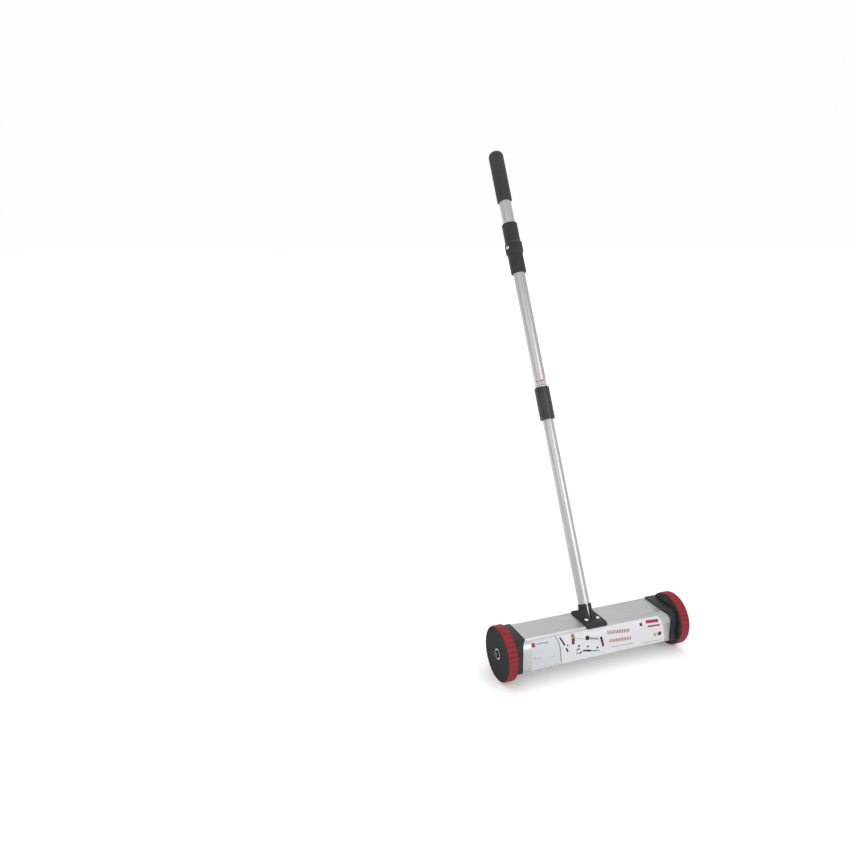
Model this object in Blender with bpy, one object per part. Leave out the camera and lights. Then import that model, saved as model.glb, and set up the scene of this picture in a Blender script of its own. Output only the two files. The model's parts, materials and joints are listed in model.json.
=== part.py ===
"""Push-along magnetic floor sweeper: an aluminium magnet housing on two wheels with a telescopic handle.

Frame: +X to the right wheel, +Y to the back (the handle leans that way), +Z up, metres.
The origin is on the floor, under the middle of the whole object's box.
"""

import math

import bmesh
import bpy
import numpy as np
from mathutils import Matrix, Vector

MM = 0.001

# Driving dimensions
WHEEL_RADIUS = 50.8 * MM
TYRE_WIDTH = 18.0 * MM
OVERALL_WIDTH = 384.0 * MM  # over the two tyres
AXLE_Y = -6.5 * MM  # the axles sit just ahead of the housing's centre line
TOP_HEIGHT = 83.0 * MM  # the housing's flat top above the floor
TOP_HALF = 28.5 * MM  # half the depth of the flat top
BODY_HALF = 43.0 * MM  # half the depth of the vertical skirts
SHOULDER_Z = 62.5 * MM  # where the curved shoulders turn into the vertical skirts
SKIRT_Z = 25.5 * MM  # the skirts' lower edge
WALL = 2.0 * MM
GAP = 0.3 * MM  # between neighbouring pieces
HANDLE_LEAN = math.radians(26.5)
HANDLE_Y = 4.0 * MM  # where the handle's axis meets the plane of the flat top
BUTTON_TURN = math.radians(20.0)  # the button looks this far forward of straight left

WHEEL_X = OVERALL_WIDTH / 2 - TYRE_WIDTH / 2
CAP_OUTER_X = OVERALL_WIDTH / 2 - TYRE_WIDTH - 2.4 * MM
SHELL_HALF = CAP_OUTER_X - 13.0 * MM
LIP_X = SHELL_HALF - 9.8 * MM  # the cap's lip on the flat top starts here

# Distances along the handle, from the plane of the flat top
SOCKET_MOUTH = 24.5 * MM
SOCKET_FLOOR = 1.5 * MM  # the socket's flat floor above the housing's top
SOCKET_SCREW_AT = 18.2 * MM
SLEEVE_START, SLEEVE_END = 386.0 * MM, 452.0 * MM
LOWER_TUBE_END = 520.0 * MM
COLLAR_START, COLLAR_END = 696.0 * MM, 805.0 * MM
BUTTON_AT = 751.0 * MM
MIDDLE_TUBE_END = 778.0 * MM
GRIP_START, GRIP_END = 856.0 * MM, 971.0 * MM
LOWER_TUBE_R = 11.0 * MM
UPPER_TUBE_R = 12.5 * MM

for old in list(bpy.data.objects):
    bpy.data.objects.remove(old, do_unlink=True)

scene = bpy.context.scene


def material(name, colour, roughness, metallic=0.0):
    made = bpy.data.materials.new(name)
    made.use_nodes = True
    shader = made.node_tree.nodes["Principled BSDF"]
    shader.inputs["Base Color"].default_value = (*colour, 1.0)
    shader.inputs["Roughness"].default_value = roughness
    shader.inputs["Metallic"].default_value = metallic
    return made


ALUMINIUM = material("anodised_aluminium", (0.70, 0.71, 0.72), 0.34, 1.0)
TUBE = material("polished_tube", (0.78, 0.79, 0.80), 0.22, 1.0)
STEEL = material("zinc_steel", (0.62, 0.63, 0.64), 0.30, 1.0)
BLACK = material("black_plastic", (0.022, 0.022, 0.024), 0.48)
GLOSS = material("gloss_black_plastic", (0.018, 0.018, 0.020), 0.22)
RUBBER = material("black_rubber", (0.020, 0.020, 0.020), 0.70)
RED = material("red_tyre", (0.48, 0.025, 0.045), 0.55)
FERRITE = material("ferrite", (0.075, 0.075, 0.080), 0.60)
NYLON = material("nylon", (0.75, 0.74, 0.70), 0.45)


def empty(name, parent=None, location=(0, 0, 0), rotation=None):
    obj = bpy.data.objects.new(name, None)
    scene.collection.objects.link(obj)
    obj.parent = parent
    obj.location = location
    if rotation is not None:
        obj.rotation_euler = rotation
    return obj


def finish(name, bm, mat, parent=None, location=(0, 0, 0), rotation=(0, 0, 0), smooth=30):
    """Turns a bmesh into a named, shaded object with its faces pointing out."""
    bmesh.ops.recalc_face_normals(bm, faces=bm.faces)
    mesh = bpy.data.meshes.new(name)
    bm.to_mesh(mesh)
    bm.free()
    mesh.shade_smooth()
    mesh.set_sharp_from_angle(angle=math.radians(smooth))
    if mat is not None:
        mesh.materials.append(mat)
    obj = bpy.data.objects.new(name, mesh)
    scene.collection.objects.link(obj)
    obj.parent = parent
    obj.location = location
    obj.rotation_euler = rotation
    return obj


def lathe_mesh(profile, segments=32, radius_at=None):
    """Turns a profile of (radius, z) about Z. Points on the axis close it there.

    radius_at(profile index, angle step) may change a radius around the turn, as ribs do.
    """
    bm = bmesh.new()
    closed = all(r > 1e-9 for r, _ in profile)
    rings = []
    for index, (r, z) in enumerate(profile):
        if r <= 1e-9:
            rings.append([bm.verts.new((0, 0, z))] * segments)
            continue
        ring = []
        for step in range(segments):
            angle = 2 * math.pi * step / segments
            radius = radius_at(index, step) if radius_at else r
            ring.append(bm.verts.new((radius * math.cos(angle), radius * math.sin(angle), z)))
        rings.append(ring)
    pairs = list(zip(rings, rings[1:] + rings[:1])) if closed else list(zip(rings, rings[1:]))
    for first, second in pairs:
        for step in range(segments):
            after = (step + 1) % segments
            corners = [first[step], first[after], second[after], second[step]]
            unique = list(dict.fromkeys(corners))
            if len(unique) > 2:
                bm.faces.new(unique)
    return bm


def lathe(name, profile, mat, segments=32, radius_at=None, **place):
    return finish(name, lathe_mesh([(r * MM, z * MM) for r, z in profile], segments, radius_at),
                  mat, **place)


def prism(name, outline, low, high, mat, axis="X", **place):
    """Extrudes a closed outline along one axis. The outline's two numbers are the other two axes."""
    bm = bmesh.new()

    def corner(first, second, along):
        if axis == "X":
            return (along, first, second)
        if axis == "Y":
            return (first, along, second)
        return (first, second, along)

    start = [bm.verts.new(corner(a, b, low)) for a, b in outline]
    face = bm.faces.new(start)
    moved = bmesh.ops.extrude_face_region(bm, geom=[face])["geom"]
    shift = Vector(corner(0, 0, high - low))
    bmesh.ops.translate(bm, vec=shift, verts=[v for v in moved if isinstance(v, bmesh.types.BMVert)])
    return finish(name, bm, mat, **place)


def block(name, size, mat, bevel=0.0, **place):
    bm = bmesh.new()
    bmesh.ops.create_cube(bm, size=1.0)
    bmesh.ops.scale(bm, vec=Vector(size), verts=bm.verts)
    obj = finish(name, bm, mat, **place)
    if bevel:
        soften(obj, bevel)
    return obj


def cylinder(name, radius, low, high, mat=None, segments=24, **place):
    return finish(name, lathe_mesh([(0, low), (radius, low), (radius, high), (0, high)], segments),
                  mat, **place)


def soften(obj, width, segments=2, limit=40):
    bevel = obj.modifiers.new("soften", "BEVEL")
    bevel.width = width
    bevel.segments = segments
    bevel.limit_method = "ANGLE"
    bevel.angle_limit = math.radians(limit)


def combine(obj, tool, operation="DIFFERENCE"):
    """Cuts with, or joins in, a helper shape that isn't a piece itself."""
    tool.display_type = "WIRE"
    tool.hide_render = True
    step = obj.modifiers.new(operation.lower(), "BOOLEAN")
    step.operation = operation
    step.solver = "EXACT"
    step.object = tool


# ---------------------------------------------------------------- frame
floor = empty("sweeper")
shoulder_r = ((BODY_HALF - TOP_HALF) ** 2 + (TOP_HEIGHT - SHOULDER_Z) ** 2) / (2 * (BODY_HALF - TOP_HALF))
shoulder_y = BODY_HALF - shoulder_r  # the shoulder arc's centre, out from the middle


def section(offset, low, steps=12):
    """Half of the housing's cross-section, grown by offset: from the skirt's foot to the flat top."""
    top = TOP_HEIGHT + offset
    radius = shoulder_r + offset
    last = math.asin((top - SHOULDER_Z) / radius)
    half = [(BODY_HALF + offset, low)]
    for step in range(steps + 1):
        angle = last * step / steps
        half.append((shoulder_y + radius * math.cos(angle), SHOULDER_Z + radius * math.sin(angle)))
    return half


def both_sides(half):
    """A closed outline from its +Y half, foot to top."""
    return half + [(-y, z) for y, z in reversed(half)]


# ---------------------------------------------------------------- magnet housing
RAIL_Z = SKIRT_Z + 2.3 * MM
groove = 0.5 * MM
outer = section(0.0, SKIRT_Z)
outer += [(TOP_HALF - 0.7 * MM, TOP_HEIGHT), (TOP_HALF - 0.95 * MM, TOP_HEIGHT - groove),
          (TOP_HALF - 1.35 * MM, TOP_HEIGHT - groove), (TOP_HALF - 1.6 * MM, TOP_HEIGHT)]
inner = section(-WALL, SKIRT_Z)
rail_tip = BODY_HALF - WALL - 6.0 * MM
inner[1:1] = [(BODY_HALF - WALL, RAIL_Z), (rail_tip, RAIL_Z), (rail_tip, RAIL_Z + WALL),
              (BODY_HALF - WALL, RAIL_Z + WALL)]
shell_outline = both_sides(outer) + [(-y, z) for y, z in inner] + [(y, z) for y, z in reversed(inner)]
shell = prism("housing_shell", shell_outline, -SHELL_HALF, SHELL_HALF, ALUMINIUM, parent=floor)

COVER_LOW, COVER_TOP = SKIRT_Z + 0.2 * MM, RAIL_Z - GAP
cover_size = (2 * SHELL_HALF - 2 * MM, 2 * (BODY_HALF - WALL) - 2 * GAP, COVER_TOP - COVER_LOW)
cover = block("magnet_cover", cover_size, ALUMINIUM, parent=floor, location=(0, 0, (COVER_LOW + COVER_TOP) / 2))

COVER_SCREW_X, COVER_SCREW_Y = 125.0 * MM, 38.0 * MM
corners = (("front_left", -1, -1), ("front_right", 1, -1), ("rear_left", -1, 1), ("rear_right", 1, 1))
for label, sx, sy in corners:
    at = (sx * COVER_SCREW_X, sy * COVER_SCREW_Y, COVER_LOW)
    sink = lathe("sink_" + label, [(0, -1), (2.5, -1), (2.5, 0.1), (1.55, 1.0), (1.55, 5), (0, 5)], None, 16,
                 parent=floor, location=at)
    combine(cover, sink)
    combine(shell, sink)
    lathe("cover_screw_" + label, [(0, 0.15), (2.05, 0.15), (1.15, 1.0), (1.15, 6.5), (0, 7.3)], STEEL, 12,
          parent=floor, location=at)

KEEPER_HALF_X, KEEPER_HALF_Y, KEEPER_TOP = 146.0 * MM, 34.5 * MM, 46.5 * MM
keeper_low = RAIL_Z + 0.1 * MM
channel = [(KEEPER_HALF_Y, keeper_low), (KEEPER_HALF_Y, KEEPER_TOP), (-KEEPER_HALF_Y, KEEPER_TOP),
           (-KEEPER_HALF_Y, keeper_low), (-KEEPER_HALF_Y + WALL, keeper_low),
           (-KEEPER_HALF_Y + WALL, KEEPER_TOP - 2.5 * MM), (KEEPER_HALF_Y - WALL, KEEPER_TOP - 2.5 * MM),
           (KEEPER_HALF_Y - WALL, keeper_low)]
prism("keeper_channel", channel, -KEEPER_HALF_X, KEEPER_HALF_X, STEEL, parent=floor)

magnet_size = (95.0 * MM, 31.6 * MM, 15.4 * MM)
for column, x in (("left", -98.0), ("middle", 0.0), ("right", 98.0)):
    for row, y in (("front", -16.2), ("rear", 16.2)):
        block(f"magnet_{row}_{column}", magnet_size, FERRITE, parent=floor,
              location=(x * MM, y * MM, keeper_low + 0.2 * MM + magnet_size[2] / 2))


# ---------------------------------------------------------------- end caps, axles and wheels
CAP_LOW = 22.5 * MM
CAP_PROUD = 1.8 * MM


def end_cap(name, side):
    """The moulded cap: a thick end plate, a lip over the flat top and a rib inside the shell."""
    def along(x):
        return side * x

    def slab(label, outline, near, far, axis="X"):
        low, high = sorted((near, far))
        return prism(label, outline, low, high, None, axis, parent=floor)

    half = section(CAP_PROUD, CAP_LOW + 6 * MM)
    foot = [(BODY_HALF + CAP_PROUD - 6 * MM * (1 - math.sin(a)), CAP_LOW + 6 * MM * (1 - math.cos(a)))
            for a in np.linspace(0, math.pi / 2, 5)[:-1]]
    cap = slab(name, both_sides(foot + half), along(LIP_X), along(CAP_OUTER_X))
    cap.data.materials.append(BLACK)
    soften(cap, 1.0 * MM)
    inside = both_sides([(BODY_HALF + GAP, 15 * MM)] + section(GAP, 20 * MM))
    combine(cap, slab(name + "_room", inside, along(LIP_X - 5 * MM), along(SHELL_HALF + GAP)))
    corner_x, corner_z = 10.2 * MM, 17.0 * MM
    for face, sign in (("front", -1), ("rear", 1)):
        # the lip rounds off at the shoulder, so the skirt's corner shows as a curve
        edge = [(along(LIP_X - 4 * MM), 10 * MM), (along(SHELL_HALF + 0.2 * MM), 10 * MM)]
        for angle in np.linspace(0, math.pi / 2, 9):
            edge.append((along(SHELL_HALF + 0.2 * MM - corner_x * (1 - math.cos(angle))),
                         TOP_HEIGHT + 0.5 * MM - corner_z * (1 - math.sin(angle))))
        edge.append((along(LIP_X - 4 * MM), TOP_HEIGHT + 0.5 * MM))
        near, far = sign * (TOP_HALF + 0.2 * MM), sign * (BODY_HALF + 12 * MM)
        combine(cap, slab(f"{name}_{face}_edge", edge, near, far, "Y"))
    rib_out = section(-WALL - 0.5 * MM, 35.5 * MM)
    rib_in = section(-WALL - 3.0 * MM, 35.5 * MM)
    rib = both_sides(rib_out) + [(-y, z) for y, z in rib_in] + list(reversed(rib_in))
    combine(cap, slab(name + "_rib", rib, along(LIP_X + 1 * MM), along(SHELL_HALF + 2 * MM)), "UNION")
    combine(cap, cylinder(name + "_bore", 4.4 * MM, -30 * MM, 30 * MM, segments=24, parent=floor,
                          location=(along(CAP_OUTER_X), AXLE_Y, WHEEL_RADIUS), rotation=(0, math.pi / 2, 0)))
    for sign in (-1, 1):
        hole = [(0, -20), (2.1, -20), (2.1, -3.4), (4.3, -3.4), (4.3, 5), (0, 5)]
        tool = lathe(f"{name}_screw_hole_{'rear' if sign > 0 else 'front'}", hole, None, 16, parent=floor,
                     location=(along(CAP_OUTER_X), AXLE_Y + sign * 20 * MM, WHEEL_RADIUS + 8 * MM),
                     rotation=(0, side * math.pi / 2, 0))
        combine(cap, tool)
    return cap


def rib_radius(index, step):
    """The tyre's tread radius: a rib with a V groove every third step."""
    r, _ = TYRE[index]
    return (r - (GROOVE if index in (2, 3) and step % 3 == 0 else 0.0)) * MM


half_w = TYRE_WIDTH / 2 / MM
tread_r = WHEEL_RADIUS / MM
GROOVE = 0.8
DISC_R = 48.8  # the black side discs; the tread stands just outside them
lip_r = DISC_R + 0.4
TYRE = [(lip_r, -half_w), (49.8, -half_w), (tread_r, -half_w + 1.4), (tread_r, half_w - 1.4), (49.8, half_w),
        (lip_r, half_w), (lip_r, 6.3), (43.9, 6.3), (43.9, -6.3), (lip_r, -6.3)]
HUB = [(5.0, 0.2 - half_w), (11.0, 0.2 - half_w), (11.0, 6.0), (40.4, 6.0), (40.4, -6.2), (43.5, -6.2),
       (43.5, 6.7), (DISC_R, 6.7), (DISC_R, half_w - 0.7), (DISC_R - 0.5, half_w - 0.2), (10.9, half_w - 0.2),
       (10.4, half_w - 0.7), (10.4, 4.6), (5.0, 4.6)]
BACK_PLATE = [(11.3, 0.2 - half_w), (DISC_R - 0.5, 0.2 - half_w), (DISC_R, 0.7 - half_w), (DISC_R, -6.7),
              (11.3, -6.7)]

for label, side in (("left", -1), ("right", 1)):
    cap = end_cap("end_cap_" + label, side)
    outward = (0, side * math.pi / 2, 0)  # turns local +Z away from the housing
    face = (side * CAP_OUTER_X, AXLE_Y, WHEEL_RADIUS)
    axis = empty(label + "_wheel_axis", floor, (side * WHEEL_X, AXLE_Y, WHEEL_RADIUS), outward)

    plate = block("axle_plate_" + label, (3.0 * MM, 52.0 * MM, 32.0 * MM), STEEL, parent=floor,
                  location=(side * (SHELL_HALF - 1.8 * MM), AXLE_Y, WHEEL_RADIUS + 4.0 * MM))
    combine(plate, cylinder(f"axle_plate_{label}_bore", 4.4 * MM, -30 * MM, 30 * MM, segments=24, parent=floor,
                            location=face, rotation=outward))
    for end, sign in (("front", -1), ("rear", 1)):
        spot = (face[0], AXLE_Y + sign * 20 * MM, WHEEL_RADIUS + 8 * MM)
        combine(plate, cylinder(f"axle_plate_{label}_{end}", 2.1 * MM, -20 * MM, 20 * MM, segments=16,
                                parent=floor, location=spot, rotation=outward))
        lathe(f"cap_screw_{label}_{end}", [(0, -15), (1.8, -15), (1.8, -3.1), (3.7, -3.1), (3.7, -1.6),
              (2.9, -0.7), (0, -0.4)], STEEL, 12, parent=floor, location=spot, rotation=outward)

    # hexagon head inside the housing, shank out through the plate, cap, wheel and nut
    head_low = -(CAP_OUTER_X - SHELL_HALF) / MM - 3.3 - 0.3 - 5.3
    bolt = cylinder("axle_bolt_" + label, 4.0 * MM, (head_low + 1) * MM, 23.8 * MM, STEEL, 32, parent=floor,
                    location=face, rotation=outward)
    soften(bolt, 0.5 * MM, 1, 60)
    combine(bolt, cylinder(f"axle_head_{label}", 7.4 * MM, head_low * MM, (head_low + 5.3) * MM, segments=6,
                           parent=floor, location=face, rotation=outward), "UNION")
    lathe("inner_washer_" + label, [(4.4, 0.3), (9.0, 0.3), (9.0, 1.9), (4.4, 1.9)], STEEL, 24, parent=floor,
          location=face, rotation=outward)
    lathe("outer_washer_" + label, [(4.4, 4.9), (8.9, 4.9), (8.9, 6.3), (4.4, 6.3)], STEEL, 24,
          parent=axis.parent, location=axis.location, rotation=outward)
    # a lock nut: a hexagon with a round collar that holds its insert
    nut = finish("axle_nut_" + label, lathe_mesh([(4.35 * MM, 6.6 * MM), (7.5 * MM, 6.6 * MM),
                 (7.5 * MM, 11.2 * MM), (4.35 * MM, 11.2 * MM)], 6), STEEL, parent=floor,
                 location=axis.location, rotation=outward)
    nut_bore = cylinder(f"axle_nut_bore_{label}", 4.35 * MM, 0, 30 * MM, segments=32, parent=floor,
                        location=axis.location, rotation=outward)
    collar = cylinder(f"axle_nut_collar_{label}", 6.1 * MM, 8 * MM, 13.0 * MM, segments=32, parent=floor,
                      location=axis.location, rotation=outward)
    soften(collar, 0.8 * MM, 2, 60)
    combine(nut, collar, "UNION")
    combine(nut, nut_bore)

    hub = lathe("hub_" + label, HUB, BLACK, 48, parent=axis)
    for spoke in range(3):
        bar = block(f"hub_{label}_spoke_{spoke}", (84.0 * MM, 2.6 * MM, 11.8 * MM), None, parent=axis,
                    location=(0, 0, 0.9 * MM), rotation=(0, 0, math.pi * spoke / 3))
        combine(hub, bar, "UNION")
    combine(hub, cylinder(f"hub_{label}_bore", 6.2 * MM, -30 * MM, 30 * MM, segments=32, parent=axis))
    combine(hub, cylinder(f"hub_{label}_recess", 10.4 * MM, 4.6 * MM, 30 * MM, segments=48, parent=axis))
    lathe("hub_back_" + label, BACK_PLATE, BLACK, 48, parent=axis)
    lathe("tyre_" + label, TYRE, RED, 108, rib_radius, parent=axis)
    lathe("bush_" + label, [(4.45, -8.6), (5.85, -8.6), (5.85, 4.3), (4.45, 4.3)], NYLON, 24, parent=axis)


# ---------------------------------------------------------------- handle bracket
handle = empty("handle_axis", floor, (0, HANDLE_Y, TOP_HEIGHT), (-HANDLE_LEAN, 0, 0))

side_view = [(29.0, 0.3), (29.0, 3.6), (-27.5, 4.2), (-33.0, 2.1), (-35.6, -1.3), (-34.3, -2.7),
             (-31.5, -0.9), (-28.6, 0.38), (-24.0, 0.3)]
bracket = prism("handle_bracket", [(y * MM, TOP_HEIGHT + z * MM) for y, z in side_view],
                -21.5 * MM, 21.5 * MM, BLACK, parent=floor)
plan = []
for sx, sy, start, r in ((1, 29.0, 0, 5.0), (-1, 29.0, 90, 5.0), (-1, -36.2, 180, 3.5), (1, -36.2, 270, 3.5)):
    cx, cy = sx * (21.5 - r), sy - math.copysign(r, sy)
    for step in range(5):
        angle = math.radians(start + 22.5 * step)
        plan.append(((cx + r * math.cos(angle)) * MM, (cy + r * math.sin(angle)) * MM))
combine(bracket, prism("bracket_plan", plan, 70 * MM, 100 * MM, None, "Z", parent=floor), "INTERSECT")

# the socket's foot spreads from the tube to the plate
to_world = Matrix.Translation((0, HANDLE_Y, TOP_HEIGHT)) @ Matrix.Rotation(-HANDLE_LEAN, 4, "X")
foot = bmesh.new()
for x in (-19.0, 19.0):
    for y in (-11.5, 26.5):
        foot.verts.new((x * MM * (1.0 if y > 0 else 0.74), y * MM, TOP_HEIGHT + 2.0 * MM))
        foot.verts.new((x * MM * (0.95 if y > 0 else 0.70), y * MM, TOP_HEIGHT + 4.6 * MM))
for step in range(24):
    angle = 2 * math.pi * step / 24
    foot.verts.new(to_world @ Vector((12.6 * MM * math.cos(angle), 12.6 * MM * math.sin(angle), 14 * MM)))
hull = bmesh.ops.convex_hull(foot, input=foot.verts)
bmesh.ops.delete(foot, geom=list({v for v in hull["geom_interior"] if isinstance(v, bmesh.types.BMVert)}),
                 context="VERTS")
combine(bracket, finish("bracket_foot", foot, None, parent=floor), "UNION")
rim = cylinder("socket_wall", 12.9 * MM, 8.6 * MM, SOCKET_MOUTH, segments=32, parent=handle)
soften(rim, 0.8 * MM, 2, 60)
combine(bracket, rim, "UNION")
bore = cylinder("socket_bore", 11.3 * MM, -9 * MM, 60 * MM, segments=32, parent=handle)
combine(bore, block("bore_floor", (60 * MM, 60 * MM, 40 * MM), None, parent=floor,
                    location=(0, 0, TOP_HEIGHT + SOCKET_FLOOR - 20 * MM)))
combine(bracket, bore)
# a slit down the front of the socket shows the tube, from the mouth to the plate
slit = [(4.0, 87.5), (35.2, 145.6), (15.5, 155.5), (-14.0, 110.0), (-14.0, 87.5)]
combine(bracket, prism("socket_slit", [(y * MM, z * MM) for y, z in slit], -1.7 * MM, 1.7 * MM, None,
                       parent=floor))
combine(bracket, cylinder("socket_screw_way", 2.0 * MM, 5 * MM, 30 * MM, segments=16, parent=handle,
                          location=(0, 0, SOCKET_SCREW_AT), rotation=(-math.pi / 2, 0, 0)))

BRACKET_SCREW_X, BRACKET_SCREW_Y = 12.0 * MM, -14.0 * MM
backing = block("backing_plate", (42.0 * MM, 44.0 * MM, 3.0 * MM), STEEL, parent=floor,
                location=(0, -2.0 * MM, TOP_HEIGHT - WALL - GAP - 1.5 * MM))
for label, side in (("left", -1), ("right", 1)):
    spot = (side * BRACKET_SCREW_X, BRACKET_SCREW_Y, 0)
    way = cylinder(f"bracket_screw_way_{label}", 2.5 * MM, 60 * MM, 100 * MM, segments=16, parent=floor,
                   location=spot)
    for piece in (bracket, shell, backing):
        combine(piece, way)
    # a seat for the head, sunk a little into the plate and the foot
    combine(bracket, cylinder(f"bracket_seat_{label}", 4.4 * MM, TOP_HEIGHT + 3.9 * MM, 100 * MM, segments=20,
                              parent=floor, location=spot))
    lathe("bracket_screw_" + label, [(0, -8.8), (2.2, -8.8), (2.2, 4.2), (3.9, 4.2), (3.9, 5.1), (3.1, 6.2),
          (1.6, 6.8), (0, 7.0)], STEEL, 20, parent=floor, location=(spot[0], spot[1], TOP_HEIGHT))
    nut = finish("bracket_nut_" + label, lathe_mesh([(2.5 * MM, -8.4 * MM), (4.1 * MM, -8.4 * MM),
                 (4.1 * MM, -5.6 * MM), (2.5 * MM, -5.6 * MM)], 6), STEEL, parent=floor,
                 location=(spot[0], spot[1], TOP_HEIGHT))
    combine(nut, cylinder(f"bracket_nut_bore_{label}", 2.5 * MM, 70 * MM, 90 * MM, segments=24, parent=floor,
                          location=spot))


# ---------------------------------------------------------------- telescopic handle
def tube(name, outer_r, wall, low, high, mat, segments=40):
    low, high = low / MM, high / MM
    outer_r, inner_r = outer_r / MM, (outer_r - wall) / MM
    return lathe(name, [(inner_r, low), (outer_r, low), (outer_r, high), (inner_r, high)], mat, segments,
                 parent=handle)


lower_tube = tube("lower_tube", LOWER_TUBE_R, 1.2 * MM, -9 * MM, LOWER_TUBE_END, TUBE)
combine(lower_tube, block("tube_mitre", (60 * MM, 60 * MM, 40 * MM), None, parent=floor,
                          location=(0, 0, TOP_HEIGHT + SOCKET_FLOOR + 0.4 * MM - 20 * MM)))
combine(lower_tube, cylinder("lower_tube_way", 2.0 * MM, 5 * MM, 30 * MM, segments=16, parent=handle,
                             location=(0, 0, SOCKET_SCREW_AT), rotation=(-math.pi / 2, 0, 0)))
lathe("socket_screw", [(0, 7.5), (1.7, 7.5), (1.7, 13.4), (3.4, 13.4), (3.4, 14.4), (2.2, 15.5), (0, 15.8)],
      STEEL, 16, parent=handle, location=(0, 0, SOCKET_SCREW_AT), rotation=(-math.pi / 2, 0, 0))
end = LOWER_TUBE_END / MM
lathe("tube_guide", [(0, end - 12), (9.2, end - 12), (9.5, end - 11), (9.5, end + 0.3), (11.15, end + 0.3),
      (11.15, end + 5.5), (10.6, end + 6), (0, end + 6)], NYLON, 24, parent=handle)

low, high = SLEEVE_START / MM, SLEEVE_END / MM
lathe("lock_sleeve", [(11.35, low), (14.3, low), (15.25, low + 1.3), (15.25, high - 1.2), (14.5, high),
      (12.85, high), (12.85, high - 4), (13.35, high - 5), (13.35, low + 3.4), (11.35, low + 3.4)], GLOSS, 40,
      parent=handle)
lathe("lock_collet", [(11.35, low + 3.8), (13.0, low + 3.8), (13.0, low + 10.4), (11.35, low + 10.4)],
      NYLON, 28, parent=handle)
middle = tube("middle_tube", UPPER_TUBE_R, 1.05 * MM, SLEEVE_START + 10.8 * MM, MIDDLE_TUBE_END, TUBE)
tube("upper_tube", UPPER_TUBE_R, 1.05 * MM, MIDDLE_TUBE_END + 0.4 * MM, GRIP_START + 78 * MM, TUBE)
spigot = tube("coupling_spigot", 11.15 * MM, 0.95 * MM, BUTTON_AT - 13 * MM, BUTTON_AT + 67 * MM, STEEL, 28)

low, high, mid = COLLAR_START / MM, COLLAR_END / MM, BUTTON_AT / MM
collar = lathe("upper_collar", [(12.8, low), (15.3, low), (16.0, low + 1), (16.0, mid - 13), (18.5, mid - 9.6),
               (18.5, mid + 9.6), (16.0, mid + 13), (16.0, high - 1), (15.3, high), (12.8, high)], BLACK, 40,
               parent=handle)

low, high = GRIP_START / MM, GRIP_END / MM
DOME = 13.0
dome = [(15.6 * math.cos(a) ** 0.85, high - DOME + DOME * math.sin(a))
        for a in np.linspace(0, math.pi / 2, 9)[:-1]]
foot_of_grip = [(0, low + 79), (12.8, low + 79), (12.8, low), (14.9, low), (15.6, low + 1.5)]
lathe("grip", foot_of_grip + dome + [(0, high)], RUBBER, 36, parent=handle)

# the sprung button looks left and a little forward, through the collar, the tube and the spigot
outward = Vector((-math.cos(BUTTON_TURN), -math.sin(BUTTON_TURN), 0))
turn = outward.to_track_quat("Z", "Y").to_euler()
button_axis = empty("button_axis", handle, (0, 0, BUTTON_AT), turn)
for piece in (collar, middle, spigot):
    combine(piece, cylinder("button_way_" + piece.name, 4.3 * MM, 5 * MM, 30 * MM, segments=24,
                            parent=button_axis))
lathe("spring_button", [(0, 7.0), (5.1, 7.0), (5.1, 8.2), (3.9, 8.2), (3.9, 19.6), (3.4, 20.4), (2.2, 20.9),
      (0, 21.1)], STEEL, 24, parent=button_axis)

# leaf spring behind the button: a V of strip lying along the tube
strip = 0.6
leaf = [(-0.5, 6.6), (-0.5, 6.6 - strip), (2.0, 6.6 - strip), (26.5, -1.1), (28.4, -2.9), (26.5, -4.7),
        (-4.0, -9.2), (-4.0, -9.2 - strip * 0.7), (27.0, -5.3), (29.4, -2.9), (27.0, -0.5), (2.2, 6.6)]
leaf_frame = Matrix.Identity(3)
leaf_frame.col[0] = Vector((0, 0, -1))
leaf_frame.col[1] = outward
leaf_frame.col[2] = Vector((0, 0, -1)).cross(outward)
prism("button_spring", [(a * MM, b * MM) for a, b in leaf], -2.2 * MM, 2.2 * MM, STEEL, "Z", parent=handle,
      location=(0, 0, BUTTON_AT), rotation=leaf_frame.to_euler())


# ---------------------------------------------------------------- centre the object over the origin
bpy.context.view_layer.update()
graph = bpy.context.evaluated_depsgraph_get()
lows, highs = [], []
for obj in scene.objects:
    if obj.type == "MESH" and not obj.hide_render:
        seen = obj.evaluated_get(graph)
        spots = np.array([tuple(seen.matrix_world @ v.co) for v in seen.data.vertices])
        lows.append(spots.min(axis=0))
        highs.append(spots.max(axis=0))
low, high = np.min(lows, axis=0), np.max(highs, axis=0)
floor.location = (-(low[0] + high[0]) / 2, -(low[1] + high[1]) / 2, -low[2])
bpy.context.view_layer.update()
print("size", np.round(high - low, 5), "moved by", np.round(floor.location, 5))
print("handle base", np.round(handle.matrix_world.translation, 6), "axis",
      np.round(handle.matrix_world.to_3x3() @ Vector((0, 0, 1)), 6))
print("button", np.round(button_axis.matrix_world.translation, 6), "outward",
      np.round(button_axis.matrix_world.to_3x3() @ Vector((0, 0, 1)), 6))
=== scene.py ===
"""The looks of a push-along magnetic floor sweeper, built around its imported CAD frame.

Metres, in the CAD frame: +X to the right wheel, +Y to the back, +Z up.
"""

import json
import math

import bmesh
import bpy
import numpy as np
from mathutils import Matrix, Vector


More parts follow.
